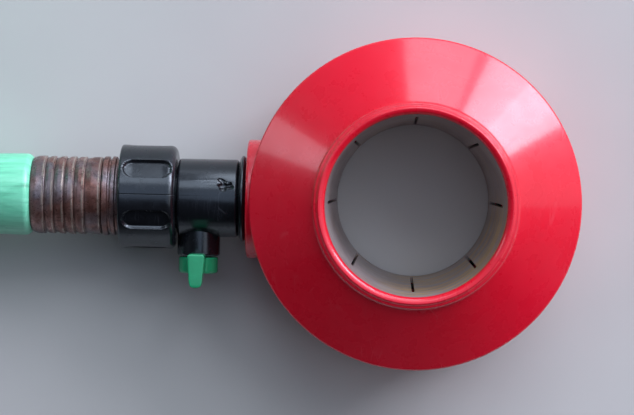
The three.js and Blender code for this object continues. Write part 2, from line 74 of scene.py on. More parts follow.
# ------------------------------------------------------------------ node helpers
class Mat:
    """small wrapper that builds a node material"""

    def __init__(self, name, base=(0.8, 0.8, 0.8), rough=0.5, metal=0.0, **extra):
        self.m = bpy.data.materials.new(name)
        self.m.use_nodes = True
        self.t = self.m.node_tree
        self.t.nodes.clear()
        self.out = self.t.nodes.new("ShaderNodeOutputMaterial")
        self.b = self.t.nodes.new("ShaderNodeBsdfPrincipled")
        self.t.links.new(self.b.outputs[0], self.out.inputs[0])
        self.b.inputs["Base Color"].default_value = (*base, 1)
        self.b.inputs["Roughness"].default_value = rough
        self.b.inputs["Metallic"].default_value = metal
        for k, v in extra.items():
            self.b.inputs[k.replace("_", " ")].default_value = v
        self.co = None

    def n(self, kind, **vals):
        node = self.t.nodes.new("ShaderNode" + kind)
        for k, v in vals.items():
            if k.startswith("i_"):
                node.inputs[int(k[2:])].default_value = v
            elif hasattr(node, k):
                setattr(node, k, v)
            else:
                node.inputs[k.replace("_", " ")].default_value = v
        return node

    def link(self, a, b):
        self.t.links.new(a, b)

    def coords(self, scale=(1, 1, 1), attribute=None):
        """object coordinates in metres, or a point attribute, scaled"""
        if attribute:
            src = self.n("Attribute", attribute_name=attribute).outputs["Vector"]
        else:
            src = self.n("TexCoord").outputs["Object"]
        mp = self.n("Mapping")
        mp.inputs["Scale"].default_value = scale
        self.link(src, mp.inputs["Vector"])
        return mp.outputs[0]

    def noise(self, vec, scale=5.0, detail=4.0, rough=0.55, dist=0.0):
        k = self.n("TexNoise")
        k.inputs["Scale"].default_value = scale
        k.inputs["Detail"].default_value = detail
        k.inputs["Roughness"].default_value = rough
        k.inputs["Distortion"].default_value = dist
        self.link(vec, k.inputs["Vector"])
        return k.outputs["Fac"]

    def ramp(self, fac, stops, interp="LINEAR"):
        r = self.n("ValToRGB")
        r.color_ramp.interpolation = interp
        e = r.color_ramp.elements
        while len(e) < len(stops):
            e.new(0.5)
        for el, (p, c) in zip(e, stops):
            el.position = p
            el.color = (*c, 1) if len(c) == 3 else c
        self.link(fac, r.inputs[0])
        return r.outputs[0]

    def grey(self, fac, lo, hi, a=0.0, b=1.0):
        r = self.n("MapRange")
        r.inputs["From Min"].default_value = lo
        r.inputs["From Max"].default_value = hi
        r.inputs["To Min"].default_value = a
        r.inputs["To Max"].default_value = b
        self.link(fac, r.inputs["Value"])
        return r.outputs[0]

    def mix(self, fac, a, b, blend="MIX"):
        k = self.n("Mix", data_type="RGBA", blend_type=blend)
        for sock, v in ((k.inputs[0], fac), (k.inputs[6], a), (k.inputs[7], b)):
            if isinstance(v, (int, float)):
                sock.default_value = v
            elif isinstance(v, tuple):
                sock.default_value = (*v, 1) if len(v) == 3 else v
            else:
                self.link(v, sock)
        return k.outputs[2]

    def math(self, op, a, b=0.0, clamp=False):
        k = self.n("Math", operation=op, use_clamp=clamp)
        for sock, v in ((k.inputs[0], a), (k.inputs[1], b)):
            if isinstance(v, (int, float)):
                sock.default_value = v
            else:
                self.link(v, sock)
        return k.outputs[0]

    def color(self, c):
        self.link(c, self.b.inputs["Base Color"])

    def rough(self, c):
        self.link(c, self.b.inputs["Roughness"])

    def bump(self, heights, strength=0.3, distance=0.0002):
        normal = None
        for h, s, d in heights:
            k = self.n("Bump")
            k.inputs["Strength"].default_value = s
            k.inputs["Distance"].default_value = d
            self.link(h, k.inputs["Height"])
            if normal is not None:
                self.link(normal, k.inputs["Normal"])
            normal = k.outputs[0]
        self.link(normal, self.b.inputs["Normal"])


def scratches(m, scale, thin, turn=0.0, where=0.56):
    """sparse fine scratches: 1 in a scratch, 0 elsewhere"""
    mp = m.n("Mapping")
    mp.inputs["Rotation"].default_value = (0.0, 0.0, turn)
    mp.inputs["Scale"].default_value = (scale, scale * 0.035, scale * 0.3)
    warp = m.n("TexNoise")
    warp.inputs["Scale"].default_value = 35.0
    co = m.n("TexCoord").outputs["Object"]
    m.link(co, warp.inputs["Vector"])
    bend = m.n("VectorMath", operation="MULTIPLY_ADD")
    m.link(warp.outputs["Color"], bend.inputs[0])
    bend.inputs[1].default_value = (0.006, 0.006, 0.0)
    m.link(co, bend.inputs[2])
    m.link(bend.outputs[0], mp.inputs["Vector"])
    v = m.n("TexVoronoi", feature="DISTANCE_TO_EDGE")
    v.inputs["Scale"].default_value = 1.0
    m.link(mp.outputs[0], v.inputs["Vector"])
    line = m.grey(v.outputs["Distance"], 0.0, thin, 1.0, 0.0)
    patch = m.noise(m.coords((75, 75, 75)), 1.0, 2.0)
    mask = m.grey(patch, where, where + 0.08, 0.0, 1.0)
    return m.math("MULTIPLY", line, mask, True)


# ------------------------------------------------------------------ mesh helpers
def new_object(name, verts, faces, material, smooth_angle=30.0, body="head", nodes=(), attrs=None):
    me = bpy.data.meshes.new(name)
    me.from_pydata([tuple(v) for v in verts], [], faces)
    me.validate(clean_customdata=False)
    me.update()
    return finish_mesh(name, me, material, smooth_angle, body, nodes, attrs)


def finish_mesh(name, me, material, smooth_angle=30.0, body="head", nodes=(), attrs=None, merge=None):
    if merge is not None or smooth_angle is not None:
        bm = bmesh.new()
        bm.from_mesh(me)
        if merge:
            bmesh.ops.remove_doubles(bm, verts=bm.verts, dist=merge)
        bmesh.ops.recalc_face_normals(bm, faces=bm.faces)
        lim = math.radians(smooth_angle or 180)
        for e in bm.edges:
            e.smooth = not (len(e.link_faces) == 2 and e.calc_face_angle(0) > lim)
        for f in bm.faces:
            f.smooth = True
        bm.to_mesh(me)
        bm.free()
    if attrs:
        for key, data in attrs.items():
            at = me.attributes.new(key, "FLOAT_VECTOR", "POINT")
            at.data.foreach_set("vector", np.asarray(data, np.float32).ravel())
    ob = bpy.data.objects.new(name, me)
    bpy.context.scene.collection.objects.link(ob)
    if material is not None:
        me.materials.clear()
        me.materials.append(material)
    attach(ob, body)
    if nodes:
        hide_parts(*nodes)
    return ob


def round_profile(pts, radii, n=6):
    """closed outline with rounded corners: pts [(a, b)], radii one for each corner"""
    out = []
    m = len(pts)
    for i in range(m):
        p0, p1, p2 = (np.array(pts[(i + k) % m], float) for k in (-1, 0, 1))
        r = radii[i] if hasattr(radii, "__len__") else radii
        u, v = p0 - p1, p2 - p1
        lu, lv = np.linalg.norm(u), np.linalg.norm(v)
        if r <= 0 or lu < 1e-9 or lv < 1e-9:
            out.append(tuple(p1))
            continue
        u, v = u / lu, v / lv
        ang = math.acos(max(-1, min(1, float(u @ v))))
        if ang > math.pi - 0.02:
            out.append(tuple(p1))
            continue
        d = min(r / math.tan(ang / 2), lu * 0.48, lv * 0.48)
        rr = d * math.tan(ang / 2)
        bis = (u + v) / np.linalg.norm(u + v)
        c = p1 + bis * (rr / math.sin(ang / 2))
        a, b = p1 + u * d - c, p1 + v * d - c
        tot = math.acos(max(-1, min(1, float(a @ b) / (rr * rr))))
        side = 1 if a[0] * b[1] - a[1] * b[0] > 0 else -1
        k = max(2, int(n * tot / (math.pi / 2)) + 1)
        for j in range(k + 1):
            t = side * tot * j / k
            ca, sa = math.cos(t), math.sin(t)
            out.append(tuple(c + np.array((a[0] * ca - a[1] * sa, a[0] * sa + a[1] * ca))))
    return out


def resample(outline, step):
    """adds points to long straight edges of a closed outline"""
    out = []
    m = len(outline)
    for i in range(m):
        a, b = np.array(outline[i], float), np.array(outline[(i + 1) % m], float)
        k = max(1, int(math.ceil(np.linalg.norm(b - a) / step)))
        for j in range(k):
            out.append(tuple(a + (b - a) * j / k))
    return out


def lathe_arrays(outline, seg, axis="z", origin=(0, 0, 0)):
    """verts and quads of a closed outline [(r, h)] turned about an axis"""
    n = len(outline)
    o = np.array(outline, float)
    verts, faces = [], []
    for k in range(seg):
        a = 2 * math.pi * k / seg
        c, s = math.cos(a), math.sin(a)
        r, h = o[:, 0], o[:, 1]
        if axis == "z":
            p = np.stack([r * c, r * s, h], 1)
        elif axis == "x":
            p = np.stack([h, r * s, r * c], 1)
        else:
            p = np.stack([r * s, h, r * c], 1)
        verts.append(p)
    verts = np.concatenate(verts) + np.array(origin, float)
    for k in range(seg):
        k2 = (k + 1) % seg
        for i in range(n):
            j = (i + 1) % n
            faces.append((k * n + i, k * n + j, k2 * n + j, k2 * n + i))
    return verts * MM, faces


def mesh_of(name, verts, faces, merge=1e-7):
    me = bpy.data.meshes.new(name)
    me.from_pydata([tuple(v) for v in verts], [], faces)
    me.update()
    bm = bmesh.new()
    bm.from_mesh(me)
    bmesh.ops.remove_doubles(bm, verts=bm.verts, dist=merge)
    bmesh.ops.dissolve_degenerate(bm, edges=bm.edges, dist=merge)
    bmesh.ops.recalc_face_normals(bm, faces=bm.faces)
    bm.to_mesh(me)
    bm.free()
    return me


def boolean(me, other, operation):
    """exact boolean of two meshes; returns a new mesh"""
    a = bpy.data.objects.new("bool_a", me)
    b = bpy.data.objects.new("bool_b", other)
    for o in (a, b):
        bpy.context.scene.collection.objects.link(o)
    mod = a.modifiers.new("b", "BOOLEAN")
    mod.operation = operation
    mod.solver = "EXACT"
    mod.object = b
    bpy.context.view_layer.update()
    dg = bpy.context.evaluated_depsgraph_get()
    res = bpy.data.meshes.new_from_object(a.evaluated_get(dg))
    for o in (a, b):
        bpy.data.objects.remove(o)
    return res


def closed(me):
    """merges the slivers that a boolean can leave and fills any pinhole"""
    bm = bmesh.new()
    bm.from_mesh(me)
    bmesh.ops.remove_doubles(bm, verts=bm.verts, dist=2e-6)
    bmesh.ops.dissolve_degenerate(bm, edges=bm.edges, dist=1e-6)
    open_edges = [e for e in bm.edges if e.is_boundary]
    if open_edges:
        bmesh.ops.holes_fill(bm, edges=open_edges, sides=40)
    loose = [e for e in bm.edges if not e.link_faces]
    if loose:
        bmesh.ops.delete(bm, geom=loose, context="EDGES")
    bmesh.ops.recalc_face_normals(bm, faces=bm.faces)
    bm.to_mesh(me)
    bm.free()
    return me


def lathe_mesh(name, outline, seg, axis="z", origin=(0, 0, 0)):
    v, f = lathe_arrays(outline, seg, axis, origin)
    return mesh_of(name, v, f)


def voxel(me, size, smooth=8):
    """remesh a union of closed shapes into one smooth skin"""
    o = bpy.data.objects.new("vox", me)
    bpy.context.scene.collection.objects.link(o)
    r = o.modifiers.new("r", "REMESH")
    r.mode = "VOXEL"
    r.voxel_size = size
    s = o.modifiers.new("s", "SMOOTH")
    s.factor = 0.5
    s.iterations = smooth
    bpy.context.view_layer.update()
    res = bpy.data.meshes.new_from_object(o.evaluated_get(bpy.context.evaluated_depsgraph_get()))
    bpy.data.objects.remove(o)
    return res


def join_meshes(name, parts):
    bm = bmesh.new()
    for p in parts:
        bm.from_mesh(p)
    me = bpy.data.meshes.new(name)
    bm.to_mesh(me)
    bm.free()
    return me


def grid_arrays(fn, n_around, n_along, closed_caps=False):
    """not built: only raises NotImplementedError; meant as a closed skin around an axis, fn is not used"""
    raise NotImplementedError


smooth = lambda t: (lambda k: k * k * (3 - 2 * k))(min(1.0, max(0.0, t)))


def nsmooth(t):
    t = np.clip(t, 0, 1)
    return t * t * (3 - 2 * t)


# ------------------------------------------------------------------ materials
def red_plastic():
    m = Mat("moulded_red", (0.75, 0.005, 0.029), 0.28)
    m.b.inputs["Specular Tint"].default_value = (1.0, 0.86, 0.98, 1)
    m.b.inputs["Specular IOR Level"].default_value = 0.5
    m.b.inputs["Coat Weight"].default_value = 0.5
    m.b.inputs["Coat Roughness"].default_value = 0.10
    one = m.coords((1, 1, 1))
    big = m.noise(one, 26.0, 3.0)
    mid = m.noise(one, 170.0, 5.0)
    fine = m.noise(one, 1400.0, 3.0)
    c = m.ramp(big, [(0.32, (0.68, 0.004, 0.021)), (0.55, (0.73, 0.005, 0.025)), (0.72, (0.77, 0.008, 0.031))])
    sc = m.math("MAXIMUM", scratches(m, 210, 0.012, 0.35, 0.57), scratches(m, 260, 0.010, -0.9, 0.60))
    c = m.mix(m.math("MULTIPLY", sc, 0.10), c, (0.85, 0.22, 0.26))
    grime = m.grey(m.noise(one, 320.0, 6.0, 0.7), 0.62, 0.78, 0.0, 0.15)
    c = m.mix(grime, c, (0.50, 0.004, 0.018))
    m.color(c)
    r = m.grey(mid, 0.3, 0.7, 0.24, 0.33)
    m.rough(m.math("ADD", r, m.math("MULTIPLY", sc, 0.10)))
    m.bump([(fine, 0.10, 0.00004), (mid, 0.10, 0.00010), (m.math("MULTIPLY", sc, -1.0), 0.2, 0.00004)])
    return m.m


def black_plastic():
    m = Mat("moulded_black", (0.014, 0.015, 0.020), 0.34)
    m.b.inputs["Specular IOR Level"].default_value = 0.65
    m.b.inputs["Specular Tint"].default_value = (0.76, 0.89, 1.0, 1)
    m.b.inputs["Coat Weight"].default_value = 0.22
    m.b.inputs["Coat Roughness"].default_value = 0.16
    one = m.coords((1, 1, 1))
    big = m.noise(one, 75.0, 4.0)
    mid = m.noise(one, 330.0, 5.0)
    fine = m.noise(one, 1700.0, 3.0)
    c = m.ramp(big, [(0.3, (0.0035, 0.0035, 0.0045)), (0.6, (0.0060, 0.0068, 0.0095)), (0.8, (0.011, 0.013, 0.018))])
    sc = m.math("MAXIMUM", scratches(m, 320, 0.013, 0.8, 0.55), scratches(m, 300, 0.012, -0.35, 0.57))
    c = m.mix(m.math("MULTIPLY", sc, 0.16), c, (0.16, 0.17, 0.20))
    m.color(c)
    m.rough(m.grey(mid, 0.3, 0.7, 0.20, 0.29))
    m.bump([(fine, 0.14, 0.00004), (mid, 0.08, 0.00010)])
    return m.m


def green_plastic():
    m = Mat("moulded_green", (0.014, 0.24, 0.11), 0.24)
    m.b.inputs["Coat Weight"].default_value = 0.4
    m.b.inputs["Coat Roughness"].default_value = 0.1
    one = m.coords((1, 1, 1))
    big = m.noise(one, 150.0, 4.0)
    fine = m.noise(one, 1500.0, 3.0)
    m.color(m.ramp(big, [(0.3, (0.010, 0.25, 0.105)), (0.55, (0.014, 0.31, 0.135)), (0.8, (0.022, 0.38, 0.18))]))
    m.rough(m.grey(big, 0.3, 0.7, 0.15, 0.26))
    m.bump([(fine, 0.14, 0.00004), (big, 0.2, 0.00018)])
    return m.m


def sleeve_metal():
    m = Mat("sleeve_satin", (0.48, 0.41, 0.42), 0.38, 0.5)
    one = m.coords((1, 1, 1))
    big = m.noise(one, 45.0, 4.0, 0.5, 0.5)
    streak = m.noise(m.coords((260, 260, 1500)), 1.0, 3.0)
    c = m.ramp(big, [(0.30, (0.35, 0.265, 0.265)), (0.50, (0.43, 0.365, 0.370)), (0.66, (0.50, 0.44, 0.43)), (0.80, (0.52, 0.42, 0.29))])
    stain = m.grey(m.noise(m.coords((48, 48, 230)), 1.0, 4.0, 0.6, 0.8), 0.54, 0.68, 0.0, 0.60)
    c = m.mix(stain, c, (0.46, 0.30, 0.16))
    c = m.mix(m.grey(streak, 0.4, 0.75, 0.0, 0.18), c, (0.20, 0.155, 0.15))
    # ochre water marks run round the low right side near the lip, and the colour turns dark brown towards the bottom
    # edge
    xyz = m.n("SeparateXYZ")
    m.link(m.n("TexCoord").outputs["Object"], xyz.inputs[0])
    side = m.math("SUBTRACT", m.math("MULTIPLY", m.math("SUBTRACT", xyz.outputs["X"], HX * MM), 0.62), m.math("MULTIPLY", xyz.outputs["Y"], 0.78))
    lines = m.noise(m.coords((35, 35, 420)), 1.0, 3.0, 0.55, 0.5)
    mark = m.math("MULTIPLY", m.grey(side, 0.012, 0.022, 0.0, 1.0), m.grey(lines, 0.48, 0.55, 0.0, 0.95), True)
    c = m.mix(mark, c, (0.62, 0.42, 0.17))
    c = m.mix(m.grey(xyz.outputs["Z"], 0.0016, 0.0008, 0.0, 0.9), c, (0.11, 0.050, 0.028))
    m.color(c)
    m.rough(m.grey(streak, 0.3, 0.7, 0.30, 0.44))
    m.bump([(streak, 0.08, 0.00004)])
    return m.m


def plain_metal(name, base, rough=0.3, dark=0.55):
    m = Mat(name, base, rough, 1.0)
    v = m.coords((1, 1, 1))
    a = m.noise(v, 160.0, 5.0)
    b = m.noise(v, 900.0, 3.0)
    lo = tuple(x * dark for x in base)
    m.color(m.ramp(a, [(0.3, lo), (0.6, base)]))
    m.rough(m.grey(b, 0.3, 0.7, rough * 0.8, rough * 1.4))
    m.bump([(b, 0.15, 0.00004)])
    return m.m


def tarnished_brass():
    m = Mat("tarnished_brass", (0.16, 0.06, 0.05), 0.34, 0.62)
    m.b.inputs["Specular IOR Level"].default_value = 0.8
    one = m.coords((1, 1, 1))
    a = m.noise(one, 120.0, 6.0, 0.65, 0.7)
    b = m.noise(one, 520.0, 5.0, 0.65)
    f = m.noise(one, 1900.0, 3.0)
    g = m.noise(m.coords((1, 1, 1)), 70.0, 3.0, 0.5, 0.4)
    c = m.ramp(a, [(0.28, (0.075, 0.026, 0.021)), (0.42, (0.175, 0.074, 0.060)), (0.54, (0.245, 0.122, 0.104)), (0.66, (0.330, 0.195, 0.180)), (0.80, (0.34, 0.24, 0.245))])
    # blue-grey patches: partly patina, partly a painted lavender sky reflection
    c = m.mix(m.grey(g, 0.46, 0.62, 0.0, 0.72), c, (0.150, 0.160, 0.190))
    c = m.mix(m.grey(b, 0.54, 0.68, 0.0, 0.65), c, (0.045, 0.017, 0.015))
    wear_glint_and_shade = m.n("Attribute", attribute_name="edge_wear_and_glint").outputs["Vector"]
    sep = m.n("SeparateXYZ")
    m.link(wear_glint_and_shade, sep.inputs[0])
    gate = m.grey(m.noise(one, 260.0, 4.0, 0.6), 0.36, 0.56, 0.0, 1.0)
    # bright band-edge lines: partly bare worn brass, partly a painted edge highlight
    bare_and_glint = m.math("MULTIPLY", sep.outputs["X"], gate, True)
    c = m.mix(m.math("MULTIPLY", bare_and_glint, 0.75), c, (0.47, 0.40, 0.34))
    # painted groove shadow: the Z channel darkens the colour just inside each groove
    c = m.mix(m.math("MULTIPLY", sep.outputs["Z"], 0.85), c, (0.030, 0.015, 0.013))
    m.color(c)
    m.rough(m.grey(b, 0.3, 0.7, 0.20, 0.44))
    m.bump([(b, 0.30, 0.00014), (f, 0.2, 0.00005), (a, 0.25, 0.0003)])
    return m.m


def hose_material():
    m = Mat("hose_mint", (0.16, 0.66, 0.41), 0.34)
    m.b.inputs["Specular IOR Level"].default_value = 0.8
    m.b.inputs["Sheen Weight"].default_value = 0.12
    m.b.inputs["Sheen Roughness"].default_value = 0.5
    v = m.coords((1, 1, 1), "along")
    streak = m.noise(m.coords((1, 1, 0.085), "along"), 520.0, 4.0, 0.6, 0.25)
    broad = m.noise(m.coords((1, 1, 0.22), "along"), 190.0, 5.0, 0.62, 0.9)
    blot = m.noise(m.coords((1, 1, 0.5), "along"), 95.0, 4.0, 0.6, 0.6)
    fine = m.noise(v, 1200.0, 4.0)
    c = m.ramp(broad, [(0.26, (0.085, 0.47, 0.28)), (0.44, (0.145, 0.63, 0.39)), (0.58, (0.185, 0.71, 0.46)), (0.76, (0.30, 0.84, 0.60))])
    c = m.mix(m.grey(streak, 0.52, 0.74, 0.0, 0.50), c, (0.33, 0.88, 0.64))
    c = m.mix(m.grey(streak, 0.45, 0.30, 0.0, 0.55), c, (0.050, 0.32, 0.19))
    c = m.mix(m.grey(blot, 0.56, 0.74, 0.0, 0.45), c, (0.075, 0.42, 0.25))
    m.color(c)
    m.rough(m.grey(blot, 0.3, 0.7, 0.26, 0.42))
    m.bump([(streak, 0.28, 0.00028), (broad, 0.25, 0.0005), (fine, 0.18, 0.00007)])
    return m.m


def rubber():
    m = Mat("seal_rubber", (0.018, 0.018, 0.018), 0.6)
    a = m.noise(m.coords((1, 1, 1)), 500.0, 4.0)
    m.color(m.ramp(a, [(0.3, (0.012, 0.012, 0.012)), (0.7, (0.03, 0.03, 0.03))]))
    m.bump([(a, 0.2, 0.00006)])
    return m.m


def white_plastic():
    m = Mat("seat_plastic", (0.8, 0.79, 0.75), 0.4)
    a = m.noise(m.coords((1, 1, 1)), 400.0, 3.0)
    m.color(m.ramp(a, [(0.3, (0.74, 0.73, 0.69)), (0.7, (0.83, 0.82, 0.78))]))
    m.bump([(a, 0.1, 0.00004)])
    return m.m


RED = red_plastic()
BLACK = black_plastic()
GREEN = green_plastic()
SLEEVE = sleeve_metal()
STEEL = plain_metal("plain_steel", (0.55, 0.55, 0.56), 0.28)
BRASS = plain_metal("dull_brass", (0.42, 0.27, 0.12), 0.36, 0.45)
COPPER = tarnished_brass()
HOSE = hose_material()
RUBBER = rubber()
WHITE = white_plastic()

by_slot = {
    "shell_red": RED, "black_plastic": BLACK, "green_plastic": GREEN, "sleeve_metal": SLEEVE, "steel_hardware": STEEL,
    "brass_plain": BRASS, "brass_tarnished": COPPER, "rubber_seal": RUBBER, "seat_white": WHITE, "hose_green": HOSE,
}
for s in frame["record"]["subparts"]:
    ob = frame["nodes"][s["node"]]
    ob.data.materials.clear()
    ob.data.materials.append(by_slot[s["material_slot"]])

# ------------------------------------------------------------------ hose route, as in the CAD source
D = 27.3
COIL_C = (-310.2, 123.8)
LAYERS, TAIL_FROM, TAIL_TO, TAIL_STRAIGHT = 2, 1610, 1800, 30
TAP_Z = LAYERS * D + 17.4


def coil_at(T):
    r, z = 6.0, 0.5
    for a, b, dr in ((220, 340, -1), (580, 700, -1), (1060, 1180, 1), (1420, 1540, 1)):
        r += dr * smooth((T - a) / (b - a))
    z += smooth((T - 820) / 120)
    psi = math.pi / 2 * smooth((T - TAIL_FROM) / 120)
    r += math.cos(psi) - 1 - 0.5 * smooth((T - TAIL_FROM - 100) / 80)
    z += math.sin(psi)
    return r, z


def hose_line():
    mouth, bend, enter = -128.9 + HX, -150 + HX, COIL_C[1] - 6 * D
    pts = []
    for i in range(120):
        x = mouth + (COIL_C[0] - mouth) * i / 120
        pts.append((x, enter * smooth((bend - x) / (bend - COIL_C[0])), IZ + (D / 2 - IZ) * smooth((mouth - x) / 110)))
    for T in range(0, TAIL_TO, 4):
        r, z = coil_at(T)
        phi = math.radians(-90 - T)
        pts.append((COIL_C[0] + r * D * math.cos(phi), COIL_C[1] + r * D * math.sin(phi), z * D))
    r, z = coil_at(TAIL_TO)
    for i in range(13):
        pts.append((COIL_C[0] - TAIL_STRAIGHT * i / 12, COIL_C[1] - r * D, z * D))
    p = np.array(pts)
    s = np.concatenate([[0], np.cumsum(np.linalg.norm(np.diff(p, axis=0), axis=1))])
    p[:, 2] += (TAP_Z - (LAYERS + 0.5) * D) * nsmooth((s - (s[-1] - 150)) / 120)
    return p


line = hose_line()
seg_len = np.linalg.norm(np.diff(line, axis=0), axis=1)
s_along = np.concatenate([[0], np.cumsum(seg_len)])
HOSE_LENGTH = float(s_along[-1])


def hose_mesh():
    """skin of the hose along its route, open bore at neither end: both ends sit in ferrules"""
    step = 3.0
    ends = np.concatenate([np.arange(0, 4, 0.25), np.arange(4, 60, 1.0)])
    middle = np.linspace(60, HOSE_LENGTH - 60, int((HOSE_LENGTH - 120) / step))
    s = np.concatenate([ends, middle, (HOSE_LENGTH - ends)[::-1]])
    n = len(s) - 1
    c = np.stack([np.interp(s, s_along, line[:, k]) for k in range(3)], 1)
    # tangent, side and top directions along the centreline
    t = np.gradient(c, axis=0)
    t /= np.linalg.norm(t, axis=1)[:, None]
    up = np.array((0.0, 0.0, 1.0))
    side = np.cross(t, up)
    side /= np.linalg.norm(side, axis=1)[:, None]
    top = np.cross(side, t)
    around = 64
    verts, along = [], []
    rng = np.random.default_rng(7)
    wob = sum(rng.normal() * np.sin(2 * math.pi * s / L + rng.uniform(0, 6.28)) for L in (61.0, 97.0, 141.0)) * 0.03
    for k in range(n + 1):
        # swelled behind the ferrules, pinched into them
        e = min(s[k], HOSE_LENGTH - s[k])
        r = D / 2 - 0.12 + 0.26 * math.exp(-((e - 4) / 7) ** 2) - 1.35 * max(0.0, 1 - e / 2.2) ** 2.2 + wob[k] * min(1.0, e / 20)
        a = np.arange(around) * 2 * math.pi / around
        verts.append(c[k] + np.outer(np.cos(a) * r, top[k]) + np.outer(np.sin(a) * r, side[k]))
        along.append(np.stack([np.cos(a) * D / 2, np.sin(a) * D / 2, np.full(around, s[k])], 1))
    verts, along = np.concatenate(verts), np.concatenate(along) * MM
    faces = []
    for k in range(n):
        for i in range(around):
            j = (i + 1) % around
            faces.append((k * around + i, k * around + j, (k + 1) * around + j, (k + 1) * around + i))
    faces.append(tuple(range(around))[::-1])
    faces.append(tuple(n * around + i for i in range(around)))
    return verts * MM, faces, along, c


v, f, along, centre = hose_mesh()
hose = new_object("hose", v, f, HOSE, 60, "head", ("hose_run", "hose_coil", "hose_tail"), {"along": along})


# ------------------------------------------------------------------ spray head
SEG_HEAD = int(256 * SEG)
foot, top = np.array((54.3, 42.3)), np.array((33.75, 56.3))
cap_out = round_profile(
    [(55.0, 40.6), (55.0, 41.6), (54.6, 42.15), (54.05, 42.48), (53.60, 42.786), (34.35, 55.892), tuple(top), (33.68, 56.75)],
    [0.25, 0.3, 0.25, 0.15, 0, 0, 0.45, 0.1], 5)
# lip: a low outer bead, a shallow valley, and the main bead that rolls into the opening
def spline(pts, per=5):
    p = np.array(pts, float)
    p = np.concatenate([[2 * p[0] - p[1]], p, [2 * p[-1] - p[-2]]])
    out = []
    for i in range(1, len(p) - 2):
        for j in range(per):
            t = j / per
            a0, a1, a2, a3 = p[i - 1], p[i], p[i + 1], p[i + 2]
            out.append(tuple(0.5 * (2 * a1 + (a2 - a0) * t + (2 * a0 - 5 * a1 + 4 * a2 - a3) * t * t + (3 * a1 - a0 - 3 * a2 + a3) * t ** 3)))
    out.append(tuple(p[-2]))
    return out


lip = spline([(33.66, 56.85), (33.64, 57.4), (33.55, 57.9), (33.33, 58.3), (33.02, 58.5), (32.75, 58.54), (32.5, 58.66), (32.25, 58.95), (32.0, 59.22),
              (31.7, 59.38), (31.18, 59.32), (30.66, 59.13), (30.24, 58.84), (29.93, 58.49), (29.72, 58.09), (29.62, 57.5)], 4)


cap_in = [(29.65, 57.35), (31.0, 57.35), (31.0, 54.5), (32.9, 54.5), (32.9, 51.9), (30.9, 51.9), (30.9, 50.6), (34.6, 50.6)]
slope = (56.2 - 42.3) / (54.3 - 33.9)
under = lambda r: 42.3 + (54.3 - r) * slope - 3.15
cap_in += [(34.6, under(34.6)), (46.8, under(46.8)), (46.8, 36.0), (49.0, 36.0), (49.0, 40.6)]
cap_profile = cap_out + lip + cap_in
cap_profile = resample(cap_profile, 3.0)
cap_me = lathe_mesh("front_shell", cap_profile, SEG_HEAD, "z", (HX, 0, 0))
front = finish_mesh("front_shell", cap_me, RED, 32, "head", ("front_cone_cap",))

house_outline = round_profile(
    [(26.5, 0), (50.6, 0), (51.4, 0.8), (52.0, 35.4), (54.7, 37.0), (54.7, 40.3), (53.6, 40.3), (53.6, 38.5), (51.2, 38.5),
     (51.2, 40.3), (49.3, 40.3), (49.3, 3.0), (33.0, 3.0), (33.0, 5.0), (30.85, 5.0), (30.85, 1.2), (26.5, 1.2)],
    [0.3, 0.6, 0.6, 1.2, 0.5, 0.3, 0.1, 0.1, 0.1, 0.1, 0.2, 0.5, 0.3, 0.3, 0.2, 0.2, 0.2], 4)
house = lathe_mesh("rear", resample(house_outline, 4.0), SEG_HEAD, "z", (HX, 0, 0))
boss = lathe_mesh("boss", round_profile([(0.0, -56.3), (20.0, -56.3), (20.0, -44.0), (0.0, -44.0)], [0, 0.9, 0, 0], 8),
                  int(160 * SEG), "x", (HX, 0, IZ))
keep = lathe_mesh("keep", [(0, -5), (49.2, -5), (49.2, 60), (0, 60)], 96, "z", (HX, 0, 0))
boss = boolean(boss, keep, "DIFFERENCE")
rim_cut = lathe_mesh("rim_cut", [(45.0, 38.4), (54.2, 38.4), (54.2, 46), (45.0, 46)], 180, "z", (HX, 0, 0))
boss = boolean(boss, rim_cut, "DIFFERENCE")
house = boolean(house, boss, "UNION")
bore = lathe_mesh("bore", [(0, -60), (9.6, -60), (9.6, -40), (0, -40)], 64, "x", (HX, 0, IZ))
house = boolean(house, bore, "DIFFERENCE")
for k in range(6):
    a = math.radians(30 + 60 * k)
    at = (HX + 41 * math.cos(a), 41 * math.sin(a), 0)
    post = lathe_mesh("post", [(0, 1), (4.6, 1), (4.6, 6.2), (0, 6.2)], 40, "z", at)
    house = boolean(house, post, "UNION")
    sink = lathe_mesh("sink", [(0, -1), (3.75, -1), (3.3, 0.35), (3.3, 3.2), (1.7, 3.2), (1.7, 8), (0, 8)], 40, "z", at)
    house = boolean(house, sink, "DIFFERENCE")
house = closed(house)
rear = finish_mesh("rear_shell", house, RED, 32, "head", ("rear_housing",))

# the six housing screws, pan heads with a cross recess, driven from the back
def wedge(name, wide, thick, deep, at, top, axis="z"):
    """a tapered cutter for one arm pair of a cross recess; its broad end is at top"""
    rows = [(wide / 2, thick / 2, top - 0.3), (wide / 2, thick / 2, top), (wide * 0.28, thick * 0.32, top + deep)]
    vs = [(x * su, y * sv, d) for x, y, d in rows for su, sv in ((-1, -1), (1, -1), (1, 1), (-1, 1))]
    fs = [(3, 2, 1, 0), (8, 9, 10, 11)]
    for q in range(2):
        fs += [(q * 4 + i, q * 4 + (i + 1) % 4, q * 4 + 4 + (i + 1) % 4, q * 4 + 4 + i) for i in range(4)]
    vs = np.array(vs)
    if axis == "y":
        vs = vs[:, [0, 2, 1]] * (1, 1, -1)
    return mesh_of(name, (vs + np.array(at)) * MM, fs)


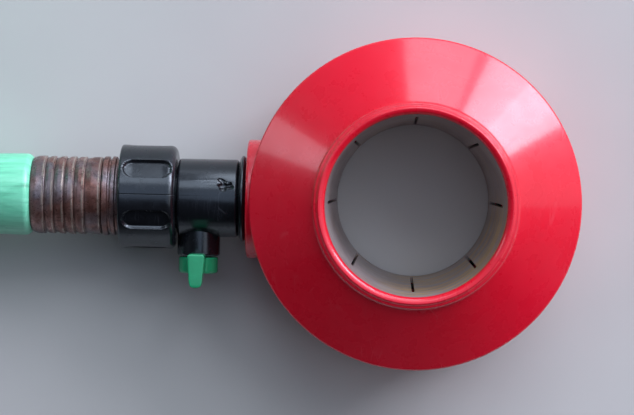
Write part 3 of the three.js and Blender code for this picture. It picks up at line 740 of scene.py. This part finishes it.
for k in range(6):
    a = math.radians(30 + 60 * k)
    at = (HX + 41 * math.cos(a), 41 * math.sin(a), 0)
    head = lathe_mesh("head", round_profile([(0, 0.5), (1.9, 0.55), (2.7, 1.05), (2.9, 1.5), (2.9, 2.8), (1.1, 2.8), (1.1, 21), (0, 22.3)],
                                            [0, 0.8, 0.5, 0.3, 0.1, 0.1, 0.2, 0], 5), int(64 * SEG), "z", at)
    for w, t in ((3.3, 0.8), (0.8, 3.3)):
        head = boolean(head, wedge("cross", w, t, 1.5, at, 0.5), "DIFFERENCE")
    finish_mesh("screw_%d" % (k + 1), head, STEEL, 32, "head", ("housing_screw_%d" % (k + 1),))

# inner sleeve, slotted
sl_outline = round_profile([(26.12, 0.2), (26.42, 0.2), (26.46, 1.5), (28.2, 1.5), (30.5, 57.2), (29.6, 57.2)], [0.1, 0.1, 0.05, 0.25, 0.3, 0.3], 4)
sleeve_me = lathe_mesh("sleeve", resample(sl_outline, 3.0), SEG_HEAD, "z", (HX, 0, 0))
for k in range(8):
    a = math.radians(90 + 45 * k)
    # slot with round ends
    pts = []
    h, z0, z1 = 0.5, 3.6, 44.0
    for j in range(9):
        t = math.pi * j / 8
        pts.append((h * math.cos(t), z1 - h + h * math.sin(t)))
    for j in range(9):
        t = math.pi + math.pi * j / 8
        pts.append((h * math.cos(t), z0 + h + h * math.sin(t)))
    n = len(pts)
    vs = []
    for d in (22.0, 34.0):
        for u, z in pts:
            vs.append((HX + d * math.cos(a) - u * math.sin(a), d * math.sin(a) + u * math.cos(a), z))
    fs = [tuple(range(n)), tuple(range(2 * n - 1, n - 1, -1))] + [(i, n + i, n + (i + 1) % n, (i + 1) % n) for i in range(n)]
    sleeve_me = boolean(sleeve_me, mesh_of("slot", np.array(vs) * MM, fs), "DIFFERENCE")
sleeve = finish_mesh("slotted_sleeve", sleeve_me, SLEEVE, 32, "head", ("spray_sleeve",))

# ------------------------------------------------------------------ valve
adapter = finish_mesh("valve_flange", lathe_mesh("valve_flange", round_profile(
    [(5.3, -64.5), (9.6, -64.5), (9.6, -58.9), (13.2, -58.9), (14.5, -58.15), (14.5, -57.5), (13.6, -56.65), (13.0, -56.65), (13.0, -58.1), (10.6, -58.1), (10.6, -56.65), (9.3, -56.65), (9.3, -46.7), (5.3, -46.7)],
    [0.3, 0.4, 0.2, 0.3, 0.25, 0.25, 0.2, 0.1, 0.1, 0.1, 0.1, 0.1, 0.5, 0.3], 5), int(160 * SEG), "x", (HX, 0, IZ)), BLACK, 35, "head", ("outlet_adapter",))

body_outline = round_profile(
    [(5.5, -86.5), (10.0, -86.5), (10.0, -86.05), (9.2, -86.05), (9.2, -84.15), (10.0, -84.15), (10.0, -79.65), (13.15, -79.65), (13.15, -59.2),
     (9.9, -59.2), (9.9, -64.8), (8.55, -64.8), (8.55, -80.7), (5.5, -80.7)],
    [0.3, 0.15, 0.1, 0.1, 0.1, 0.1, 0.2, 1.1, 1.1, 0.3, 0.2, 0.2, 0.2, 0.3], 6)
vb = lathe_mesh("vb", body_outline, int(160 * SEG), "x", (HX, 0, IZ))
stemboss = lathe_mesh("sb", round_profile([(0, -19.6), (7.2, -19.6), (7.2, -9.6), (0, -9.6)], [0, 0.9, 0, 0], 6), int(96 * SEG), "y", (HX - 72.5, 0, IZ))
vb = boolean(vb, stemboss, "UNION")
pocket = lathe_mesh("pk", [(0, -25), (5.0, -25), (5.0, -15.6), (4.2, -15.6), (4.2, -10.3), (4.9, -10.3), (4.9, -5), (0, -5)], 64, "y", (HX - 72.5, 0, IZ))
vb = boolean(vb, pocket, "DIFFERENCE")
# mould parting line along the top and the bottom, and a chip knocked out beside the flange
for zc in (IZ + 13.15, IZ - 13.15):
    vs = [(HX + x, 1.15 + y, zc + z) for x in (-80.2, -58.5) for y in (-0.09, 0.09) for z in ((-0.12, 1.0) if zc > IZ else (-1.0, 0.12))]
    fs = [(0, 1, 3, 2), (4, 6, 7, 5), (0, 4, 5, 1), (2, 3, 7, 6), (0, 2, 6, 4), (1, 5, 7, 3)]
    vb = boolean(vb, mesh_of("seam", np.array(vs) * MM, fs), "DIFFERENCE")
bm = bmesh.new()
bmesh.ops.create_icosphere(bm, subdivisions=4, radius=1.0)
rng = np.random.default_rng(11)
waves = [(rng.normal(size=3) * 2.6, rng.uniform(0, 6.28)) for _ in range(7)]
for vert in bm.verts:
    q = np.array(vert.co)
    k = 1 + 0.13 * sum(math.sin(float(w @ q) + ph) for w, ph in waves)
    vert.co = Vector(((HX - 63.3 + 2.75 * k * q[0] + 0.5 * q[1]) * MM, (5.0 + 2.0 * k * q[1] - 0.35 * q[0]) * MM, (IZ + 12.25 + 1.45 * k * q[2] - 0.80 * k * q[1]) * MM))
chip = bpy.data.meshes.new("chip")
bm.to_mesh(chip)
bm.free()
vb = boolean(vb, chip, "DIFFERENCE")
vb = closed(vb)
valve = finish_mesh("valve_shell", vb, BLACK, 35, "head", ("valve_body",))

# lever: one smooth skin over the hub and the tapered blade
hub = lathe_mesh("hub", round_profile([(0, -25.5), (6.7, -25.5), (6.7, -19.9), (0, -19.9)], [0, 0.9, 0.5, 0], 6), 96, "y", (0, 0, 0))
prof = [(2.9, -18.4), (2.15, -28.2), (1.6, -29.4), (0.0, -29.85), (-1.6, -29.4), (-2.15, -28.2), (-2.9, -18.4)]
prof = round_profile(prof, [0.9, 0.8, 0.6, 0.6, 0.6, 0.8, 0.9], 5)
n = len(prof)
vs, fs = [], []
for z in (2.0, 15.9):
    vs += [(x, y, z) for x, y in prof]
fs = [tuple(range(n)), tuple(range(2 * n - 1, n - 1, -1))] + [(i, n + i, n + (i + 1) % n, (i + 1) % n) for i in range(n)]
fin = mesh_of("fin", np.array(vs) * MM, fs)
side_pts = round_profile([(-1, -25.4), (6, -25.4), (10, -29.9), (15.95, -29.9), (15.95, -18.35), (7.75, -18.35), (7.75, -19.95), (-1, -19.95)],
                         [0, 3.0, 1.6, 1.1, 0.7, 0.4, 0.3, 0], 6)
n = len(side_pts)
vs = [(x, y, z) for x in (-6, 6) for z, y in side_pts]
fs = [tuple(range(n)), tuple(range(2 * n - 1, n - 1, -1))] + [(i, n + i, n + (i + 1) % n, (i + 1) % n) for i in range(n)]
fin = boolean(fin, mesh_of("env", np.array(vs) * MM, fs), "INTERSECT")
lever_me = boolean(hub, fin, "UNION")
lever_me = voxel(lever_me, 0.0002, 3)
cut = lathe_mesh("cut", [(0, -30), (3.0, -30), (3.0, -24.0), (2.9, -23.9), (2.9, -19), (0, -19)], 48, "y", (0, 0, 0))
lever_me = boolean(lever_me, cut, "DIFFERENCE")
lever_me.transform(Matrix.Translation(((HX - 72.5) * MM, 0, IZ * MM)))
lever = finish_mesh("lever", lever_me, GREEN, 35, "valve_key", ("valve_lever",))
pin_at = (HX - 72.5, 0, IZ)
pin = lathe_mesh("pin", round_profile([(0, -25.3), (2.0, -25.25), (2.6, -24.85), (2.6, -24.0), (1.3, -24.0), (1.3, -17.6), (0, -17.6)],
                                      [0, 0.4, 0.2, 0.1, 0.1, 0.1, 0], 5), int(64 * SEG), "y", pin_at)
for w, t in ((3.0, 0.7), (0.7, 3.0)):
    pin = boolean(pin, wedge("cross", w, t, 0.9, pin_at, -25.3, "y"), "DIFFERENCE")
finish_mesh("lever_pin", pin, STEEL, 32, "valve_key", ("lever_screw",))


# ------------------------------------------------------------------ coupling nut
def nut_mesh():
    x0, x1, r = -99.0, -80.05, 17.5
    out = round_profile([(13.65, x0), (r, x0), (r, x1), (10.4, x1), (10.4, -84.0), (13.65, -84.0)], [0.3, 0.8, 2.4, 0.5, 0.3, 0.3], 10)
    out = resample(out, 0.4)
    o = np.array(out)
    a = np.arange(int(540 * SEG)) * 2 * math.pi / int(540 * SEG)
    seam = 1.3 / 17.5
    extra = np.concatenate([c + np.linspace(-0.016, 0.016, 9) for c in (seam, math.pi - seam)])
    a = np.unique(np.round(np.concatenate([a, extra]), 6))
    around = len(a)
    R = np.repeat(o[None, :, 0], around, 0)
    X = np.repeat(o[None, :, 1], around, 0)
    A = np.repeat(a[:, None], len(o), 1)
    # stadium recesses on the outside: distance to a capsule laid along X
    depth = np.zeros_like(R)
    outside = R > 15.2
    for k in range(6):
        c = math.radians(35 + 60 * k)
        da = (A - c + math.pi) % (2 * math.pi) - math.pi
        u = da * 17.5
        xc = (x0 + x1) / 2 + 0.2
        w = X - xc
        half = 8.2 - 3.5
        d = np.hypot(u, np.maximum(np.abs(w) - half, 0)) - 3.5
        depth = np.maximum(depth, 1.15 * nsmooth(-(d - 0.12) / 0.62) + 0.12 * nsmooth(-d / 3.5))
    for c in (seam, math.pi - seam):
        depth = np.maximum(depth, 0.16 * np.exp(-((A - c) * 17.5 / 0.085) ** 2) * (depth < 0.05))
    R = np.where(outside, R - depth, R)
    P = np.stack([X, R * np.sin(A), R * np.cos(A)], -1).reshape(-1, 3) + np.array((HX, 0, IZ))
    n = len(o)
    fs = []
    for k in range(around):
        k2 = (k + 1) % around
        for i in range(n):
            j = (i + 1) % n
            fs.append((k * n + i, k * n + j, k2 * n + j, k2 * n + i))
    return P * MM, fs


v, f = nut_mesh()
nut = new_object("swivel_nut", v, f, BLACK, 40, "hose_nut", ("coupling_nut",))

# ------------------------------------------------------------------ male fitting with its thread
def threaded(name, outline, thread, origin, material, body, nodes, around=144, step=0.35):
    """outline turned about X, with a helical thread cut where x is inside thread = (x0, x1, pitch, depth)"""
    out = resample(outline, step)
    o = np.array(out)
    a = np.arange(around) * 2 * math.pi / around
    R = np.repeat(o[None, :, 0], around, 0)
    X = np.repeat(o[None, :, 1], around, 0)
    A = np.repeat(a[:, None], len(o), 1)
    if thread:
        x0, x1, pitch, depth, sign, rr = thread
        ph = ((X - x0) / pitch - A / (2 * math.pi)) % 1.0
        wave = np.clip(np.abs(ph - 0.5) * 4 - 0.6, 0, 1)
        run = nsmooth((X - x0) / 0.8) * nsmooth((x1 - X) / 0.8)
        on = (np.abs(R - rr) < 0.3) & (X > x0) & (X < x1)
        R = np.where(on, R - sign * depth * wave * run, R)
    P = np.stack([X, R * np.sin(A), R * np.cos(A)], -1).reshape(-1, 3) + np.array(origin)
    n = len(o)
    fs = []
    for k in range(around):
        k2 = (k + 1) % around
        for i in range(n):
            j = (i + 1) % n
            fs.append((k * n + i, k * n + j, k2 * n + j, k2 * n + i))
    return new_object(name, P * MM, fs, material, 35, body, nodes)


male = threaded("male_end", round_profile(
    [(7.0, -89.5), (12.4, -89.5), (13.25, -90.3), (13.25, -99.6), (12.5, -99.8), (12.5, -100.3), (13.35, -100.6), (13.35, -101.9), (12.5, -102.1), (12.5, -102.8), (13.35, -103.0),
     (13.35, -104.8), (9.3, -104.8), (9.3, -127.4), (7.0, -127.4)],
    [0.3, 0.3, 0.3, 0.1, 0.1, 0.1, 0.3, 0.3, 0.15, 0.15, 0.3, 0.4, 0.2, 0.4, 0.3], 4), (-99.4, -90.0, 2.2, 0.9, 1, 13.25), (HX, 0, IZ),
    COPPER, "head", ("male_fitting",))


def ferrule(name, x0, x1, origin, flip, nodes, seed):
    """crimped sleeve: rounded bands between six pressed grooves, slightly out of round"""
    around, rows = int(200 * SEG), int(230 * SEG)
    rng = np.random.default_rng(seed)
    u = np.linspace(0, 1, rows)
    a = np.arange(around) * 2 * math.pi / around
    U, A = np.meshgrid(u, a)
    grooves = (0.206, 0.340, 0.487, 0.626, 0.773)
    L = abs(x1 - x0)
    r = np.full_like(U, 12.75)
    edge_wear_and_glint = np.zeros_like(U)
    groove_shade = np.zeros_like(U)
    starts, ends = (0.0, *grooves), (*grooves, 1.0)
    lean = 0.10 * np.sin(A + 1.0) / L
    for g0, g1 in zip(starts, ends):
        t = (U + lean * (0 < g0) - g0) / (g1 - g0)
        inside = (t >= 0) & (t < 1)
        t = np.clip(t, 0, 1)
        # each band rises to a sharp far edge, then drops into a narrow groove
        rise = 0.38 * nsmooth(t / 0.45) + 0.16 * t ** 2
        fall = nsmooth((t - (1 - 0.42 / (L * (g1 - g0)))) / (0.42 / (L * (g1 - g0)) * 0.55))
        r = np.where(inside, 12.52 + rise * 1.25 - 0.72 * fall, r)
        # painted shade: darkening just after each groove drop, where the groove's shadow falls
        groove_shade = np.where(inside, np.maximum(groove_shade, np.exp(-(t * L * (g1 - g0) / 0.50) ** 2)), groove_shade)
        # bright line just before each groove drop: partly bare worn brass, partly a painted edge highlight
        edge_at = 1 - 0.52 / (L * (g1 - g0))
        edge_wear_and_glint = np.where(inside, np.maximum(edge_wear_and_glint, np.exp(-((t - edge_at) * L * (g1 - g0) / 0.34) ** 2)), edge_wear_and_glint)
    r = np.where(U < 0.02, 12.3 + (r - 12.3) * nsmooth(U / 0.02), r)
    r = np.where(U > 0.985, 12.6 + (r - 12.6) * nsmooth((1 - U) / 0.015), r)
    for _ in range(9):
        k, q = rng.integers(2, 11), rng.uniform(0.5, 3.5)
        r += rng.normal() * 0.03 * np.sin(k * A + rng.uniform(0, 6.28)) * np.cos(2 * math.pi * q * U + rng.uniform(0, 6.28))
    X = x0 + (x1 - x0) * U
    outer = np.stack([X, r * np.sin(A), r * np.cos(A)], -1)
    inner_r = np.full_like(r, 12.15)
    inner_r[:, -5:] = 9.75
    inner = np.stack([X, inner_r * np.sin(A), inner_r * np.cos(A)], -1)
    P = np.concatenate([outer, inner[:, ::-1]], 1)
    # channels: X edge wear and painted edge highlight, Y position along, Z painted groove shade
    marks = np.concatenate([np.stack([edge_wear_and_glint, U, groove_shade], -1), np.zeros_like(inner)], 1).reshape(-1, 3)
    if flip:
        P[..., 0] *= -1
        P[..., 1] *= -1
    n = P.shape[1]
    P = P.reshape(-1, 3) + np.array(origin)
    fs = []
    for k in range(around):
        k2 = (k + 1) % around
        for i in range(n):
            j = (i + 1) % n
            fs.append((k * n + i, k * n + j, k2 * n + j, k2 * n + i))
    return new_object(name, P * MM, fs, COPPER, 50, "head", nodes, {"edge_wear_and_glint": marks})


ferrule("crimped_ferrule", -128.9, -105.1, (HX, 0, IZ), False, ("male_ferrule",), 3)

# ------------------------------------------------------------------ tap end
TAP = (float(line[-1, 0]), float(line[-1, 1]), TAP_Z)
ferrule("tap_end_ferrule", 0.0, 23.8, TAP, True, ("tap_ferrule",), 5)
tail = threaded("tap_end_insert", round_profile(
    [(7.0, -1.6), (9.3, -1.6), (9.3, -24.1), (10.4, -24.1), (10.4, -33.0), (12.6, -33.0), (12.6, -35.4), (7.0, -35.4)],
    [0.3, 0.4, 0.2, 0.3, 0.3, 0.3, 0.3, 0.3], 4), None, TAP, BRASS, "head", ("tap_tail",), 96, 2.0)


def tap_nut():
    """brass swivel nut: eight flats with turned ends, threaded inside"""
    out = round_profile([(10.8, -25.0), (16.5, -25.0), (16.5, -43.6), (13.65, -43.6), (13.65, -32.6), (10.8, -32.6)], [0.3, 1.6, 1.2, 0.5, 0.3, 0.3], 8)
    out = resample(out, 0.35)
    around = int(360 * SEG)
    o = np.array(out)
    a = np.arange(around) * 2 * math.pi / around
    R = np.repeat(o[None, :, 0], around, 0)
    X = np.repeat(o[None, :, 1], around, 0)
    A = np.repeat(a[:, None], len(o), 1)
    flat = 15.65
    da = (A + math.pi / 8) % (math.pi / 4) - math.pi / 8
    lim = flat / np.cos(da)
    body = (R > 14.6) & (X < -27.2) & (X > -41.8)
    blend = nsmooth((-27.2 - X) / 0.6) * nsmooth((X + 41.8) / 0.6)
    R = np.where(body, R + (np.minimum(R, lim) - R) * blend, R)
    ph = ((X + 43.6) / 2.2 - A / (2 * math.pi)) % 1.0
    wave = np.clip(np.abs(ph - 0.5) * 4 - 0.6, 0, 1)
    inner = (np.abs(R - 13.65) < 0.2) & (X < -32.9)
    R = np.where(inner, R + 0.8 * wave * nsmooth((X + 43.4) / 0.8) * nsmooth((-33.2 - X) / 0.8), R)
    P = np.stack([X, R * np.sin(A), R * np.cos(A)], -1).reshape(-1, 3) + np.array(TAP)
    n = len(o)
    fs = []
    for k in range(around):
        k2 = (k + 1) % around
        for i in range(n):
            j = (i + 1) % n
            fs.append((k * n + i, k * n + j, k2 * n + j, k2 * n + i))
    return new_object("tap_nut_shell", P * MM, fs, BRASS, 35, "tap_nut", ("tap_swivel_nut",))


tapnut = tap_nut()


# ------------------------------------------------------------------ floor, lights
def floor():
    me = bpy.data.meshes.new("floor")
    me.from_pydata([(-6, -6, 0), (6, -6, 0), (6, 6, 0), (-6, 6, 0)], [], [(0, 1, 2, 3)])
    ob = bpy.data.objects.new("floor", me)
    bpy.context.scene.collection.objects.link(ob)
    ob.location.z = -0.0002
    m = Mat("floor_pale", (0.50, 0.50, 0.50), 0.85)
    a = m.noise(m.coords((1, 1, 1)), 9.0, 3.0)
    m.color(m.ramp(a, [(0.3, (0.48, 0.485, 0.48)), (0.7, (0.53, 0.535, 0.525))]))
    me.materials.append(m.m)
    return ob


floor()


def softbox(name, az, el, wide, high, radiance, color=(1, 1, 1), dist=3.2):
    """a rectangular soft light seen from the head at az, el, as wide and high as the angles given"""
    li = bpy.data.lights.new(name, "AREA")
    li.shape = "RECTANGLE"
    li.size, li.size_y = (2 * dist * math.tan(math.radians(v / 2)) for v in (wide, high))
    li.energy = radiance * math.pi * li.size * li.size_y
    li.color = color
    ob = bpy.data.objects.new(name, li)
    bpy.context.scene.collection.objects.link(ob)
    a, e = math.radians(az), math.radians(el)
    t = Vector(((HX - 30) * MM, 0, 0.035))
    p = t + Vector((math.cos(e) * math.cos(a), math.cos(e) * math.sin(a), math.sin(e))) * dist
    ob.location = p
    ob.rotation_euler = (t - p).to_track_quat("-Z", "Y").to_euler()
    return ob


LIGHTS = [
    ("key_a", 53, 23, 17, 26, 9.5, (0.97, 0.96, 1.10)),
    ("key_b", 36, 23, 17, 26, 13.0, (0.97, 0.96, 1.10)),
    ("key_low", 44, 4, 36, 12, 0.7, (0.95, 0.97, 1.08)),
    ("key_high", 45, 48, 36, 22, 2.2, (0.92, 0.97, 1.10)),
    ("side", 80, 23, 26, 24, 4.4, (0.92, 0.97, 1.10)),
    ("side_high", 85, 48, 36, 22, 2.4, (0.90, 0.97, 1.12)),
    ("side_low", 92, 4, 44, 14, 1.1, (0.92, 0.97, 1.10)),
    ("left_strip", 156.5, 22, 13, 22, 3.3, (0.95, 0.97, 1.06)),
    ("left_fill", 120, 23, 40, 22, 0.2, (0.90, 0.97, 1.10)),
    ("left_high", 130, 50, 40, 24, 0.68, (0.90, 0.97, 1.12)),
    ("right", 10, 22, 22, 24, 0.9, (0.95, 0.97, 1.08)),
    ("right_high", 5, 50, 34, 24, 1.1, (0.93, 0.97, 1.10)),
    ("right_low", 350, 5, 40, 12, 1.4, (0.95, 0.97, 1.08)),
    ("above", 60, 80, 40, 32, 0.85, (0.80, 0.94, 1.22)),
    ("back_left", 190, 30, 36, 30, 0.06, (0.92, 0.97, 1.10)),
    ("front", 268, 6, 90, 16, 0.18, (0.92, 0.97, 1.10)),
]
for entry in LIGHTS:
    softbox(*entry)

world = bpy.data.worlds.new("world")
bpy.context.scene.world = world
world.use_nodes = True
bg = world.node_tree.nodes["Background"]
bg.inputs[0].default_value = (0.88, 0.93, 1.0, 1)
bg.inputs[1].default_value = 0.02

import json
